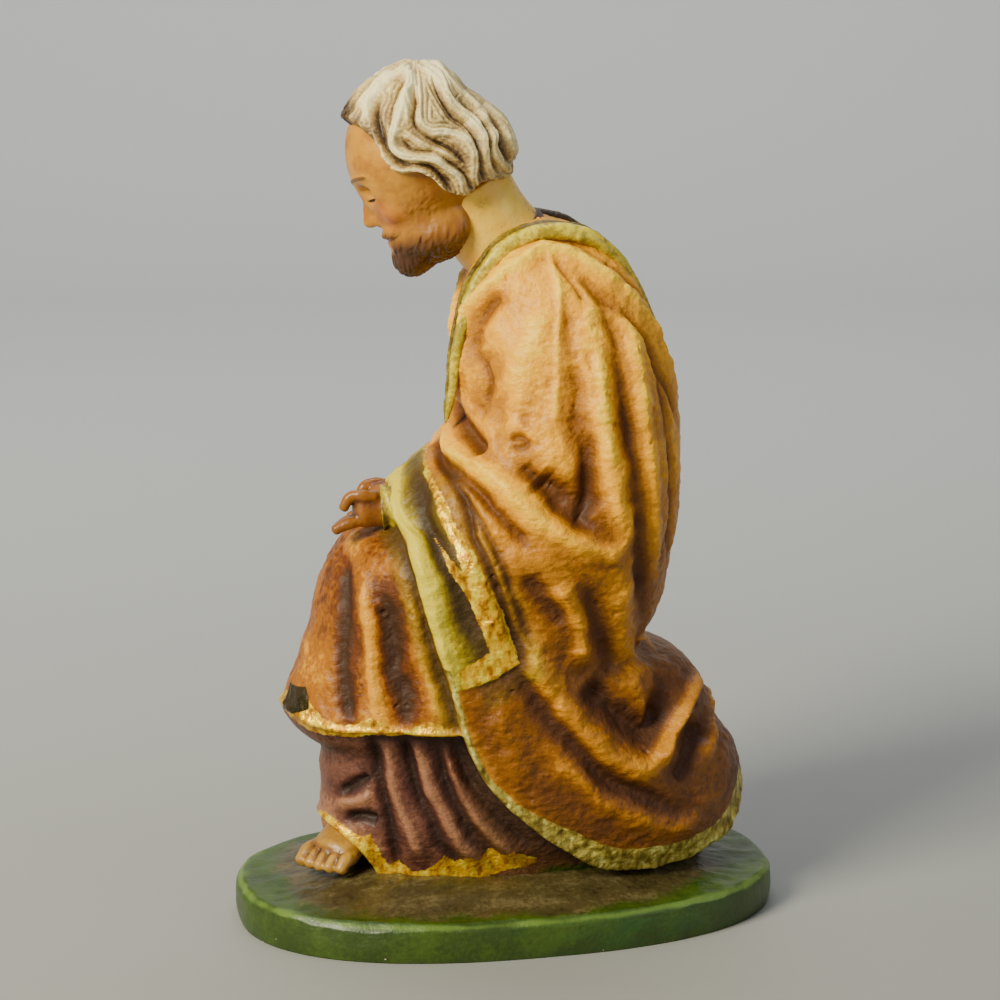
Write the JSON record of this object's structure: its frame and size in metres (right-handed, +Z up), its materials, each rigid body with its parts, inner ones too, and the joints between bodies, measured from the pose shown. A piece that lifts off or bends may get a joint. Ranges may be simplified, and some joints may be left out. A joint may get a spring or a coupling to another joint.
{
  "type": "chalkware nativity figure",
  "caption": "Painted plaster figure of a kneeling, bowed man with a raised knee and a draped mantle, cast in one piece with its oval base.",
  "frame": {"origin": "centre of the base's underside", "axes": "+Z up; -X is the way the figure faces; -Y is the figure's left side"},
  "size_m": [0.16, 0.1, 0.2498],
  "materials": {
    "ochre_mantle": null
  },
  "bodies": {
    "root": {"figure": "ochre_mantle"}
  },
  "joints": []
}
